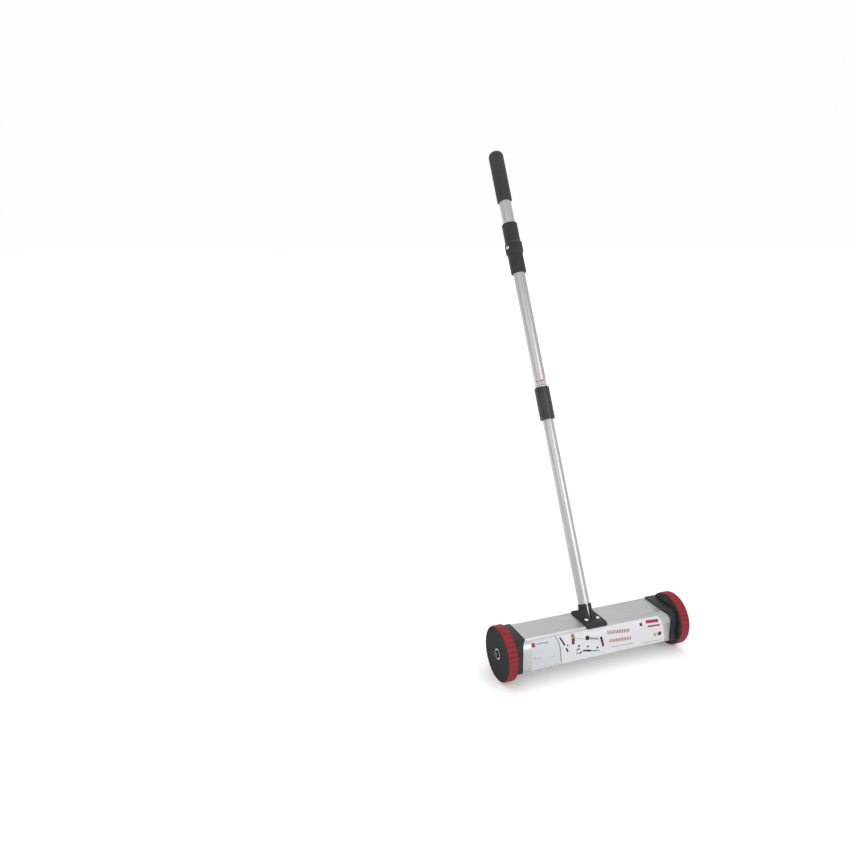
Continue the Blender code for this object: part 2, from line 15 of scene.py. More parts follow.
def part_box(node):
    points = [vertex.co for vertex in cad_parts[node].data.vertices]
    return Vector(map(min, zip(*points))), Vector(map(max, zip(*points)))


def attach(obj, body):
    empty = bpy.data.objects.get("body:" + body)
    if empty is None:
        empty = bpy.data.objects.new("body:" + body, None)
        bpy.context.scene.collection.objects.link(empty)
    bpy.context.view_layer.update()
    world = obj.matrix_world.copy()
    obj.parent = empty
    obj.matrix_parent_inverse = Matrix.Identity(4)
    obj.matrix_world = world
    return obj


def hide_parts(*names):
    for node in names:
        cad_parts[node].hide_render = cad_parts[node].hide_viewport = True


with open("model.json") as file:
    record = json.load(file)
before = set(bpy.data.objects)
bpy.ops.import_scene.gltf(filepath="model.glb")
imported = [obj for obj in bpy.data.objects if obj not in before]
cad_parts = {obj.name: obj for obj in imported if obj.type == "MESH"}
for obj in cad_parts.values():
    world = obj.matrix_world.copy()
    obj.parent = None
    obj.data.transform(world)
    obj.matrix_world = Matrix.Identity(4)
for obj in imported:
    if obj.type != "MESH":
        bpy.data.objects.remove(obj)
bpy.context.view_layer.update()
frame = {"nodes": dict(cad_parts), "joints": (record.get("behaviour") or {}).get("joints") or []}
nodes = frame["nodes"]
joints = {joint["name"]: joint for joint in frame["joints"]}
MM = 0.001

# ---------------------------------------------------------------- places read from the frame
shell_low, shell_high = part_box("housing_shell")
BODY_Y = (shell_low.y + shell_high.y) / 2
BODY_HALF = (shell_high.y - shell_low.y) / 2
SHELL_HALF = shell_high.x
SKIRT_Z, TOP_Z = shell_low.z, shell_high.z
AXLE = Vector(joints["right_wheel_spin"]["pos_m"])
HANDLE_AXIS = Vector(joints["handle_slide"]["axis"]).normalized()
lock_spot = Vector(joints["lock_twist"]["pos_m"])
HANDLE_BASE = lock_spot - HANDLE_AXIS * ((lock_spot.z - TOP_Z) / HANDLE_AXIS.z)
LEAN = math.atan2(HANDLE_AXIS.y, HANDLE_AXIS.z)
HANDLE = Matrix.Translation(HANDLE_BASE) @ Matrix.Rotation(-LEAN, 4, "X")

# the housing's section: vertical skirts, curved shoulders and a flat top
TOP_HALF = 28.5 * MM
SHOULDER_Z = TOP_Z - 20.5 * MM
SHOULDER_R = ((BODY_HALF - TOP_HALF) ** 2 + (TOP_Z - SHOULDER_Z) ** 2) / (2 * (BODY_HALF - TOP_HALF))
SHOULDER_Y = BODY_HALF - SHOULDER_R
WALL = 2.0 * MM


def along(node):
    """A handle node's first and last distance along the handle, and its greatest radius."""
    inverse = HANDLE.inverted()
    spots = np.array([tuple(inverse @ v.co) for v in nodes[node].data.vertices])
    return spots[:, 2].min(), spots[:, 2].max(), float(np.hypot(spots[:, 0], spots[:, 1]).max())


# ---------------------------------------------------------------- camera and light
scene = bpy.context.scene
CAMERA_SPOT = Vector((-0.7663, BODY_Y - 1.1808, 0.8200))
lens = bpy.data.cameras.new("camera")
lens.sensor_width = 36.0
lens.lens = 33.88
lens.shift_x = -0.0009
lens.shift_y = -0.0016
camera = bpy.data.objects.new("camera", lens)
scene.collection.objects.link(camera)
YAW, PITCH, ROLL = 0.3579, 0.2529, -0.0077
right = Vector((math.cos(YAW), -math.sin(YAW), 0.0))
forward = Vector((math.sin(YAW) * math.cos(PITCH), math.cos(YAW) * math.cos(PITCH), -math.sin(PITCH)))
turn = Matrix((right, right.cross(forward), -forward)).transposed()
camera.matrix_world = Matrix.Translation(CAMERA_SPOT) @ (
    turn @ Matrix.Rotation(ROLL, 3, "Z")).to_4x4()
lens.clip_end = 60.0
scene.camera = camera


def lamp(name, place, target, size, power):
    """A white area lamp of size (width, height) in metres, turned towards a target."""
    light = bpy.data.lights.new(name, "AREA")
    light.shape = "RECTANGLE"
    light.size, light.size_y = size
    light.energy = power
    obj = bpy.data.objects.new(name, light)
    scene.collection.objects.link(obj)
    obj.location = place
    obj.rotation_euler = (Vector(target) - Vector(place)).to_track_quat("-Z", "Y").to_euler()


lamp("front_strip", (0.55, BODY_Y - 2.3, 1.5), (0, BODY_Y + 0.1, 0.4), (1.9, 1.9), 21)
lamp("soft_left", (-2.2, -1.9, 2.3), (0, -0.1, 0.3), (1.6, 1.6), 6)
lamp("soft_top", (0.2, 0.6, 3.0), (0, 0, 0.2), (2.2, 1.6), 16)

world = bpy.data.worlds.new("studio")
world.use_nodes = True
world.node_tree.nodes["Background"].inputs["Color"].default_value = (0.985, 0.99, 1.0, 1.0)
world.node_tree.nodes["Background"].inputs["Strength"].default_value = 1.0
scene.world = world
scene.view_settings.view_transform = "Standard"


# ---------------------------------------------------------------- materials
def shader_of(name, colour, roughness, metallic=0.0, **sockets):
    """A Principled material, its node tree and its shader."""
    made = bpy.data.materials.new(name)
    made.use_nodes = True
    tree = made.node_tree
    shader = tree.nodes["Principled BSDF"]
    shader.inputs["Base Color"].default_value = (*colour, 1.0)
    shader.inputs["Roughness"].default_value = roughness
    shader.inputs["Metallic"].default_value = metallic
    for socket, value in sockets.items():
        shader.inputs[socket.replace("_", " ")].default_value = value
    return made, tree, shader


def texture(tree, kind, scale, stretch=(1, 1, 1), detail=3.0):
    """A noise or cell texture on object coordinates. stretch squeezes it along each axis."""
    place = tree.nodes.new("ShaderNodeTexCoord")
    mapping = tree.nodes.new("ShaderNodeMapping")
    mapping.inputs["Scale"].default_value = stretch
    tree.links.new(place.outputs["Object"], mapping.inputs["Vector"])
    made = tree.nodes.new("ShaderNodeTex" + kind)
    made.inputs["Scale"].default_value = scale
    if kind == "Noise":
        made.inputs["Detail"].default_value = detail
    tree.links.new(mapping.outputs["Vector"], made.inputs["Vector"])
    return made.outputs["Fac" if kind == "Noise" else "Distance"]


def ramp(tree, source, low, high, start=0.3, end=0.7):
    """Maps a texture's value onto a range of greys or colours."""
    node = tree.nodes.new("ShaderNodeValToRGB")
    low, high = (c if hasattr(c, "__len__") else (c, c, c) for c in (low, high))
    node.color_ramp.elements[0].position = start
    node.color_ramp.elements[1].position = end
    node.color_ramp.elements[0].color = (*low, 1.0)
    node.color_ramp.elements[1].color = (*high, 1.0)
    tree.links.new(source, node.inputs["Fac"])
    return node.outputs["Color"]


def bumps(tree, shader, *layers):
    """Stacks bump layers of (height source, strength, distance in metres)."""
    previous = None
    for source, strength, distance in layers:
        node = tree.nodes.new("ShaderNodeBump")
        node.inputs["Strength"].default_value = strength
        node.inputs["Distance"].default_value = distance
        tree.links.new(source, node.inputs["Height"])
        if previous is not None:
            tree.links.new(previous, node.inputs["Normal"])
        previous = node.outputs["Normal"]
    tree.links.new(previous, shader.inputs["Normal"])


def streaked_metal(name, dark, light, roughness, streaks, cloud_scale=14.0, rough_spread=0.07, bump=0.10):
    """Metal with fine drawing or extrusion streaks and soft, larger clouds of handling marks."""
    made, tree, shader = shader_of(name, light, roughness, 1.0)
    fine = texture(tree, "Noise", 1.0, streaks, detail=4.0)
    cloud = texture(tree, "Noise", cloud_scale, detail=2.0)
    mix = tree.nodes.new("ShaderNodeMix")
    mix.data_type = "FLOAT"
    mix.inputs["Factor"].default_value = 0.45
    tree.links.new(fine, mix.inputs["A"])
    tree.links.new(cloud, mix.inputs["B"])
    tree.links.new(ramp(tree, mix.outputs["Result"], dark, light), shader.inputs["Base Color"])
    rough = ramp(tree, mix.outputs["Result"], roughness + rough_spread, roughness - rough_spread)
    tree.links.new(rough, shader.inputs["Roughness"])
    bumps(tree, shader, (fine, bump, 0.00005))
    return made


def moulded(name, colour, roughness, grain_scale, grain, worn=1.35, kind="Noise", **sockets):
    """Moulded plastic or rubber: fine grain, uneven gloss and slightly lighter worn patches."""
    made, tree, shader = shader_of(name, colour, roughness, 0.0, **sockets)
    fine = texture(tree, kind, grain_scale, detail=2.0)
    cloud = texture(tree, "Noise", 38.0, detail=5.0)
    lighter = tuple(min(1.0, c * worn + 0.004) for c in colour)
    tree.links.new(ramp(tree, cloud, colour, lighter, 0.42, 0.78), shader.inputs["Base Color"])
    tree.links.new(ramp(tree, cloud, roughness - 0.06, roughness + 0.08), shader.inputs["Roughness"])
    bumps(tree, shader, (cloud, 0.05, 0.0004), (fine, grain, 0.00012))
    return made


ALUMINIUM = streaked_metal("satin_extruded_aluminium", (0.435, 0.447, 0.437), (0.49, 0.502, 0.49), 0.36,
                           (5.0, 620.0, 620.0))
TUBE = streaked_metal("drawn_aluminium_tube", (0.37, 0.37, 0.37), (0.47, 0.47, 0.47), 0.30,
                      (700.0, 700.0, 5.0))
ZINC = streaked_metal("zinc_plated_steel", (0.62, 0.63, 0.64), (0.82, 0.82, 0.81), 0.26,
                      (260.0, 260.0, 260.0), 60.0, 0.06, 0.06)
DARK_STEEL = streaked_metal("black_oxide_steel", (0.060, 0.060, 0.058), (0.105, 0.105, 0.100), 0.38,
                            (260.0, 260.0, 260.0), 60.0, 0.08, 0.06)
STEEL = streaked_metal("rolled_steel", (0.38, 0.39, 0.40), (0.55, 0.55, 0.56), 0.36,
                       (60.0, 500.0, 500.0), 25.0)
BLACK = moulded("textured_black_plastic", (0.012, 0.012, 0.013), 0.50, 1500.0, 0.16, Specular_IOR_Level=0.30)
GLOSS = moulded("gloss_black_plastic", (0.014, 0.014, 0.015), 0.27, 900.0, 0.03, Specular_IOR_Level=0.42)
RUBBER = moulded("black_grip_rubber", (0.018, 0.018, 0.019), 0.66, 1100.0, 0.30, kind="Voronoi",
                 Specular_IOR_Level=0.34)
HUB_BLACK = moulded("hub_plastic", (0.022, 0.0225, 0.023), 0.60, 1300.0, 0.14, Specular_IOR_Level=0.04)
# the same hub plastic with a lighter colour: painted light that lifts the wheel's inner plate out of the
# shade between cap and wheel
BACK_BLACK_PAINTED_LIGHTER = moulded("hub_back_plastic_painted_lighter", (0.048, 0.048, 0.050), 0.60, 1300.0, 0.14, Specular_IOR_Level=0.10)
RED = moulded("red_tyre_rubber", (0.195, 0.0078, 0.0135), 0.56, 900.0, 0.22, worn=1.2,
              Specular_IOR_Level=0.28)
FERRITE = moulded("sintered_ferrite", (0.050, 0.050, 0.054), 0.62, 700.0, 0.35)
NYLON = moulded("natural_nylon", (0.60, 0.59, 0.55), 0.42, 900.0, 0.08, worn=1.05)


# ---------------------------------------------------------------- mesh helpers
def millimetres(profile):
    """Pairs of numbers in millimetres, as metres."""
    return [(r * MM, z * MM) for r, z in profile]


def piece(name, bm, mat, body, replaced=(), place=None, angle=35):
    """Turns a bmesh into a finished piece that rides on a body and stands for some CAD nodes."""
    bmesh.ops.recalc_face_normals(bm, faces=bm.faces)
    mesh = bpy.data.meshes.new(name)
    bm.to_mesh(mesh)
    bm.free()
    mesh.shade_smooth()
    mesh.set_sharp_from_angle(angle=math.radians(angle))
    mesh.materials.append(mat)
    obj = bpy.data.objects.new(name, mesh)
    scene.collection.objects.link(obj)
    if place is not None:
        obj.matrix_world = place
    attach(obj, body)
    if replaced:
        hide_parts(*replaced)


def rounded(profile, radius, steps, closed=False):
    """Rounds the corners of an outline with short arcs. Each corner's radius fits its two edges."""
    points = [Vector(p) for p in profile]
    count = len(points)
    made = []
    for index, corner in enumerate(points):
        if not closed and index in (0, count - 1):
            made.append(tuple(corner))
            continue
        before, after = points[index - 1] - corner, points[(index + 1) % count] - corner
        reach = min(radius, before.length * 0.45, after.length * 0.45)
        bend = before.angle(after, math.pi) if before.length > 1e-9 and after.length > 1e-9 else math.pi
        if reach < 1e-6 or bend > math.radians(165):
            made.append(tuple(corner))
            continue
        start, end = corner + before.normalized() * reach, corner + after.normalized() * reach
        for step in range(steps + 1):
            t = step / steps
            made.append(tuple(start * (1 - t) ** 2 + corner * 2 * t * (1 - t) + end * t ** 2))
    return made


def turned(profile, segments, radius_at=None):
    """Turns a profile of (radius, z) about Z. It closes on the axis, or else into a ring."""
    bm = bmesh.new()
    closed = all(r > 1e-9 for r, _ in profile)
    rings = []
    for r, z in profile:
        if r <= 1e-9:
            rings.append([bm.verts.new((0, 0, z))] * segments)
            continue
        ring = []
        for step in range(segments):
            angle = 2 * math.pi * step / segments
            radius = radius_at(r, angle) if radius_at else r
            ring.append(bm.verts.new((radius * math.cos(angle), radius * math.sin(angle), z)))
        rings.append(ring)
    pairs = list(zip(rings, rings[1:] + rings[:1])) if closed else list(zip(rings, rings[1:]))
    for first, second in pairs:
        for step in range(segments):
            after = (step + 1) % segments
            unique = list(dict.fromkeys([first[step], first[after], second[after], second[step]]))
            if len(unique) > 2:
                bm.faces.new(unique)
    return bm


def extruded(outline, low, high, axis="X"):
    """A closed outline pulled along one axis. Its two numbers are the other two axes, in order."""
    bm = bmesh.new()

    def corner(a, b, c):
        return {"X": (c, a, b), "Y": (a, c, b), "Z": (a, b, c)}[axis]

    face = bm.faces.new([bm.verts.new(corner(a, b, low)) for a, b in outline])
    moved = bmesh.ops.extrude_face_region(bm, geom=[face])["geom"]
    bmesh.ops.translate(bm, vec=Vector(corner(0, 0, high - low)),
                        verts=[v for v in moved if isinstance(v, bmesh.types.BMVert)])
    bmesh.ops.recalc_face_normals(bm, faces=bm.faces)
    return bm


def helper(name, bm, place=None):
    """A shape that only cuts or joins, and is removed afterwards."""
    bmesh.ops.recalc_face_normals(bm, faces=bm.faces)
    mesh = bpy.data.meshes.new(name)
    bm.to_mesh(mesh)
    bm.free()
    obj = bpy.data.objects.new(name, mesh)
    scene.collection.objects.link(obj)
    if place is not None:
        obj.matrix_world = place
    return obj


def solid_from(start, steps):
    """Runs Booleans on a helper and gives the result as a bmesh in world space."""
    for operation, tool in steps:
        modifier = start.modifiers.new(operation.lower(), "BOOLEAN")
        modifier.operation = operation
        modifier.solver = "EXACT"
        modifier.object = tool
    return settled(start, [tool for _, tool in steps])


def settled(obj, tools):
    """An object's evaluated mesh as a bmesh in world space. The object and its tools are removed."""
    bpy.context.view_layer.update()
    seen = obj.evaluated_get(bpy.context.evaluated_depsgraph_get())
    mesh = bpy.data.meshes.new_from_object(seen)
    mesh.transform(obj.matrix_world)
    bm = bmesh.new()
    bm.from_mesh(mesh)
    bpy.data.meshes.remove(mesh)
    for old in (obj, *tools):
        bpy.data.objects.remove(old, do_unlink=True)
    return bm


SHARP = math.radians(40)  # edges that turn by more than this are bevelled


def bevelled(bm, width, segments):
    """Rounds a bmesh's sharp edges."""
    sharp = [e for e in bm.edges if len(e.link_faces) == 2 and e.calc_face_angle(0) > SHARP]
    bmesh.ops.bevel(bm, geom=sharp, offset=width, segments=segments, profile=0.5, affect="EDGES",
                    clamp_overlap=True)
    return bm


def carry(node, mat):
    """Keeps a CAD node and gives it a finish."""
    mesh = nodes[node].data
    mesh.materials.clear()
    mesh.materials.append(mat)
    mesh.shade_smooth()
    mesh.set_sharp_from_angle(angle=math.radians(30))


# ---------------------------------------------------------------- magnet housing
def section(offset, low, steps=36):
    """Half of the housing's section, grown by offset, from the skirt's foot up to the flat top."""
    radius = SHOULDER_R + offset
    last = math.asin((TOP_Z + offset - SHOULDER_Z) / radius)
    half = [(BODY_HALF + offset, low)]
    for step in range(steps + 1):
        angle = last * step / steps
        half.append((SHOULDER_Y + radius * math.cos(angle), SHOULDER_Z + radius * math.sin(angle)))
    return half


def both_sides(half):
    """A closed outline about the body's middle, from its rear half."""
    return [(BODY_Y + y, z) for y, z in half] + [(BODY_Y - y, z) for y, z in reversed(half)]


def housing():
    """The extrusion, with a fine groove along each edge of its flat top and a rail inside each skirt."""
    groove = 0.55 * MM
    rail = SKIRT_Z + 2.3 * MM
    tip = BODY_HALF - WALL - 6.0 * MM
    outer = section(0.0, SKIRT_Z)
    for inset, depth in ((0.6, 0), (0.85, groove), (1.45, groove), (1.7, 0)):
        outer.append((TOP_HALF - inset * MM, TOP_Z - depth))
    inner = section(-WALL, SKIRT_Z, 12)
    inner[1:1] = [(BODY_HALF - WALL, rail), (tip, rail), (tip, rail + WALL), (BODY_HALF - WALL, rail + WALL)]
    rear = outer + [(-y, z) for y, z in reversed(outer)]
    hollow = [(-y, z) for y, z in inner] + list(reversed(inner))
    outline = [(BODY_Y + y, z) for y, z in rear + hollow]
    bm = extruded(outline, -SHELL_HALF, SHELL_HALF)
    sharp = [e for e in bm.edges if len(e.link_faces) == 2 and e.calc_face_angle(0) > SHARP
             and (abs(e.verts[0].co.x - e.verts[1].co.x) < 1e-6 or e.verts[0].co.z < SKIRT_Z + 0.1 * MM)]
    bmesh.ops.bevel(bm, geom=sharp, offset=0.35 * MM, segments=2, profile=0.5, affect="EDGES")
    piece("housing_extrusion", bm, ALUMINIUM, "chassis", ["housing_shell"])


housing()

# ---------------------------------------------------------------- end caps
CAP_PROUD = 1.8 * MM  # how far a cap stands out round the housing
GAP = 0.3 * MM  # between a cap and the housing
SEAT = Matrix.Translation((0, BODY_Y, TOP_Z))  # the middle of the flat top


def outward(side, x, y=AXLE.y, z=AXLE.z):
    """A frame whose +Z points away from the housing, on the axle's line unless told otherwise."""
    return Matrix.Translation((side * x, y, z)) @ Matrix.Rotation(side * math.pi / 2, 4, "Y")


def end_cap(label, side):
    """A moulded cap: an end plate, and a lip that laps over the flat top and curves back at each skirt."""
    node = "end_cap_" + label
    low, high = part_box(node)
    lip_x, cap_x = sorted((abs(low.x), abs(high.x)))
    foot_z, foot_r = low.z, 6 * MM
    half = section(CAP_PROUD, foot_z + foot_r)
    foot = [(BODY_HALF + CAP_PROUD - foot_r * (1 - math.sin(a)), foot_z + foot_r * (1 - math.cos(a)))
            for a in np.linspace(0, math.pi / 2, 11)[:-1]]

    def slab(outline, near, far, axis="X"):
        return extruded(outline, *sorted((near, far)), axis)

    body = slab(both_sides(foot + half), side * lip_x, side * cap_x)
    body = helper("cap", bevelled(body, 1.0 * MM, 4))
    room = both_sides([(BODY_HALF + GAP, 15 * MM)] + section(GAP, 20 * MM))
    steps = [("DIFFERENCE", helper("room", slab(room, side * (lip_x - 5 * MM), side * (SHELL_HALF + GAP))))]
    corner_x, corner_z = 10.2 * MM, 17.0 * MM  # the lip's edge is a quarter ellipse of this size
    skirt_x = SHELL_HALF + 0.2 * MM
    for sign in (-1, 1):
        edge = [(side * (lip_x - 4 * MM), 10 * MM), (side * skirt_x, 10 * MM)]
        for angle in np.linspace(0, math.pi / 2, 33):
            edge.append((side * (skirt_x - corner_x * (1 - math.cos(angle))),
                         TOP_Z + 0.5 * MM - corner_z * (1 - math.sin(angle))))
        edge.append((side * (lip_x - 4 * MM), TOP_Z + 0.5 * MM))
        cut = slab(edge, BODY_Y + sign * (TOP_HALF + 0.2 * MM), BODY_Y + sign * (BODY_HALF + 12 * MM), "Y")
        steps.append(("DIFFERENCE", helper("edge", cut)))
    bore = turned(millimetres([(0, -30), (4.4, -30), (4.4, 30), (0, 30)]), 64)
    steps.append(("DIFFERENCE", helper("bore", bore, outward(side, cap_x))))
    for sign in (-1, 1):
        hole = [(0, -20), (2.1, -20), (2.1, -3.4), (4.3, -3.4), (4.3, -0.3), (4.6, 0.1), (4.6, 5), (0, 5)]
        place = outward(side, cap_x, AXLE.y + sign * 20 * MM, AXLE.z + 8 * MM)
        steps.append(("DIFFERENCE", helper("hole", turned(millimetres(hole), 48), place)))
    bm = solid_from(body, steps)
    piece("moulded_" + node, bm, BLACK, "chassis", [node], angle=28)


# ---------------------------------------------------------------- wheels
TREAD_R, DISC_R, HALF_W = 50.8, 48.8, 9.0  # mm: the tread, the side discs and half the tyre's width
RIBS, RIB_DEPTH = 36, 1.3 * MM
RIB_FOOT = 49.95 * MM  # the tyre is round inside this radius


def ribbed(r, angle):
    """The tread: soft ribs between narrow grooves that run across the tyre."""
    if r < RIB_FOOT:
        return r
    phase = abs((angle * RIBS / (2 * math.pi) + 0.5) % 1.0 - 0.5) * 2
    return r - RIB_DEPTH * max(0.0, 1 - phase / 0.5) ** 1.3


def wheel(label, side):
    """A ribbed tyre between two plastic discs, and the washer and lock nut on its axle."""
    body = label + "_wheel"
    spot = Vector(joints[body + "_spin"]["pos_m"])
    place = Matrix.Translation(spot) @ Matrix.Rotation(side * math.pi / 2, 4, "Y")
    lip, edge = DISC_R + 0.4, TREAD_R - 0.95
    tread = [(lip, -HALF_W), (edge, -HALF_W), (TREAD_R, 1.3 - HALF_W), (TREAD_R, 0.0),
             (TREAD_R, HALF_W - 1.3), (edge, HALF_W), (lip, HALF_W), (lip, 6.3), (43.9, 6.3),
             (43.9, -6.3), (lip, -6.3)]
    tread = rounded(millimetres(tread), 0.55 * MM, 4, True)
    piece("ribbed_tyre_" + label, turned(tread, 576, ribbed), RED, body, ["tyre_" + label],
          place, angle=60)

    face = [(6.2, -8.8), (11.0, -8.8), (11.0, 6.0), (40.4, 6.0), (40.4, -6.2), (43.5, -6.2), (43.5, 6.7),
            (DISC_R, 6.7), (DISC_R, 8.5), (DISC_R - 0.4, 8.8), (47.2, 8.8), (46.8, 8.45), (44.0, 8.3),
            (14.6, 8.3), (13.8, 8.75), (11.2, 8.8), (10.4, 8.1), (10.4, 4.6), (6.2, 4.6)]
    face = rounded(millimetres(face), 0.30 * MM, 3, True)
    piece("wheel_disc_" + label, turned(face, 192), HUB_BLACK, body, ["hub_" + label],
          place, angle=45)
    back = [(11.3, -8.8), (18.0, -8.8), (18.5, -8.4), (44.4, -8.4), (44.9, -8.8), (DISC_R - 0.5, -8.8),
            (DISC_R, -8.3), (DISC_R, -6.7), (11.3, -6.7)]
    back = rounded(millimetres(back), 0.30 * MM, 3, True)
    # the inner plate takes the lighter copy of the hub plastic, painted light against the shade of the cap
    piece("wheel_back_" + label, turned(back, 192), BACK_BLACK_PAINTED_LIGHTER, body, ["hub_back_" + label],
          place, angle=45)

    # a cup washer, then a dark lock nut with its insert ring
    cup = [(4.5, 4.95), (9.9, 4.95), (9.9, 8.9), (9.2, 8.9), (8.7, 6.3), (4.5, 6.3)]
    cup = rounded(millimetres(cup), 0.35 * MM, 3, True)
    piece("cup_washer_" + label, turned(cup, 96), ZINC, "chassis", ["outer_washer_" + label],
          place, angle=40)
    hexagon = turned(millimetres([(0, 6.6), (7.5, 6.6), (7.5, 11.2), (0, 11.2)]), 6)
    chamfer = millimetres([(0, 6.6), (6.7, 6.6), (7.6, 7.15), (7.6, 10.5), (6.5, 11.2), (0, 11.2)])
    collar = rounded(millimetres([(0, 9.0), (6.1, 9.0), (6.1, 12.9), (0, 12.9)]), 1.2 * MM, 5)
    core = [(0, 0), (4.35, 0)]
    for ring in range(11):
        core += [(4.35, 5.6 + 0.62 * ring), (4.6, 5.91 + 0.62 * ring)]
    core += [(4.35, 12.5), (4.35, 20), (0, 20)]
    nut = solid_from(helper("nut", hexagon, place), [
        ("INTERSECT", helper("chamfer", turned(chamfer, 96), place)),
        ("UNION", helper("collar", turned(collar, 96), place)),
        ("DIFFERENCE", helper("core", turned(millimetres(core), 64), place))])
    piece("lock_nut_" + label, nut, DARK_STEEL, "chassis", ["axle_nut_" + label], angle=30)
    insert = rounded(millimetres([(4.05, 11.9), (5.2, 11.9), (5.2, 13.0), (4.05, 13.0)]), 0.15 * MM, 2, True)
    piece("nut_insert_" + label, turned(insert, 64), DARK_STEEL, "chassis", place=place)


# ---------------------------------------------------------------- handle bracket
def bracket():
    """A plate with a hooked front edge and a socket that flares into it, joined by soft fillets."""
    mouth = 24.5  # mm along the handle, where the socket ends
    side_view = [(29.0, 0.3), (29.0, 3.6), (-27.5, 4.2), (-33.0, 2.1), (-35.6, -1.3), (-34.3, -2.7),
                 (-31.5, -0.9), (-28.6, 0.38), (-24.0, 0.3)]
    side_view = rounded(millimetres(side_view), 1.2 * MM, 4, True)
    plate = helper("plate", extruded(side_view, -21.5 * MM, 21.5 * MM), SEAT)
    plan = []
    rear, front = (29.0, 5.0), (-36.2, 3.5)
    for sx, (sy, r), start in ((1, rear, 0), (-1, rear, 90), (-1, front, 180), (1, front, 270)):
        cx, cy = sx * (21.4 - r), sy - math.copysign(r, sy)
        for step in range(9):
            angle = math.radians(start + 11.25 * step)
            plan.append(((cx + r * math.cos(angle)) * MM, (cy + r * math.sin(angle)) * MM))
    steps = [("INTERSECT", helper("plan", extruded(plan, -20 * MM, 20 * MM, "Z"), SEAT))]

    # the foot is a hull between a flat pad on the plate and a ring round the tube
    foot = bmesh.new()
    for x in (-19.0, 19.0):
        for y in (-11.5, 26.5):
            foot.verts.new((x * MM * (1.0 if y > 0 else 0.74), BODY_Y + y * MM, TOP_Z + 2.0 * MM))
            foot.verts.new((x * MM * (0.95 if y > 0 else 0.70), BODY_Y + y * MM, TOP_Z + 4.4 * MM))
    for step in range(48):
        angle = 2 * math.pi * step / 48
        foot.verts.new(HANDLE @ Vector((12.6 * MM * math.cos(angle), 12.6 * MM * math.sin(angle), 14 * MM)))
    hull = bmesh.ops.convex_hull(foot, input=foot.verts)
    bmesh.ops.delete(foot, geom=list({v for v in hull["geom_interior"] if isinstance(v, bmesh.types.BMVert)}),
                     context="VERTS")
    steps.append(("UNION", helper("foot", foot)))
    wall = rounded(millimetres([(0, 6.5), (12.9, 6.5), (12.9, mouth), (0, mouth)]), 0.8 * MM, 4)
    steps.append(("UNION", helper("wall", turned(wall, 96), HANDLE)))
    body = helper("bracket", solid_from(plate, steps))
    soften(body, voxel=0.0006, rounds=5)

    # a bore down to just above the housing, a slit down its front, and holes for the screws
    bore = turned(millimetres([(0, -9), (11.3, -9), (11.3, 60), (0, 60)]), 96)
    bore = solid_from(helper("bore", bore, HANDLE), [("DIFFERENCE", ground(1.5))])
    slit = [(4.0, 4.5), (35.2, 62.6), (15.5, 72.5), (-14.0, 27.0), (-14.0, 4.5)]
    cuts = [("DIFFERENCE", helper("socket", bore)),
            ("DIFFERENCE", helper("slit", extruded(millimetres(slit), -2.3 * MM, 2.3 * MM), SEAT))]
    for side in (-1, 1):
        seat = millimetres([(0, -20), (2.5, -20), (2.5, 3.8), (4.5, 3.8), (4.6, 20), (0, 20)])
        cuts.append(("DIFFERENCE", helper("seat", turned(seat, 48), screw_place(side))))
    cross = HANDLE @ Matrix.Translation((0, 0, 18.2 * MM)) @ Matrix.Rotation(-math.pi / 2, 4, "X")
    way = turned(millimetres([(0, 5), (2.0, 5), (2.0, 30), (0, 30)]), 32)
    cuts.append(("DIFFERENCE", helper("way", way, cross)))
    piece("moulded_bracket", solid_from(body, cuts), BLACK, "chassis", ["handle_bracket"],
          angle=42)
    for label, side in (("left", -1), ("right", 1)):
        pan_screw(label, screw_place(side))


def screw_place(side):
    """Where a screw stands on the bracket's plate, to the left or right of its slit."""
    return SEAT @ Matrix.Translation((side * 12.0 * MM, -14.0 * MM, 0))


def pan_screw(label, place):
    """A domed screw head with a cross recess, turned a little as a fitted screw is."""
    head = millimetres([(0, -8.8), (2.2, -8.8), (2.2, 4.2), (3.9, 4.2), (3.9, 4.9), (3.5, 5.9), (2.4, 6.6),
                        (1.2, 6.95), (0, 7.0)])
    start = helper("head", turned(rounded(head, 0.25 * MM, 2), 64), place)
    blade = millimetres([(-2.0, 5.4), (2.0, 5.4), (2.4, 9.0), (-2.4, 9.0)])
    tools = []
    for angle in (0.4, math.pi / 2 + 0.4):
        tool = helper("blade", extruded(blade, -0.42 * MM, 0.42 * MM), place @ Matrix.Rotation(angle, 4, "Z"))
        tools.append(("DIFFERENCE", tool))
    piece("pan_screw_" + label, solid_from(start, tools), ZINC, "chassis", ["bracket_screw_" + label],
          angle=30)


def ground(level):
    """A tool that cuts away all that is below a level, in mm above the flat top."""
    outline = millimetres([(-30, -38.5), (30, -38.5), (30, level), (-30, level)])
    return helper("ground", extruded(outline, -30 * MM, 30 * MM), SEAT)


def soften(obj, voxel, rounds):
    """Remeshes a solid finely and smooths it, which leaves small fillets where its parts meet."""
    step = obj.modifiers.new("voxels", "REMESH")
    step.mode = "VOXEL"
    step.voxel_size = voxel
    step = obj.modifiers.new("smooth", "SMOOTH")
    step.factor = 0.5
    step.iterations = rounds


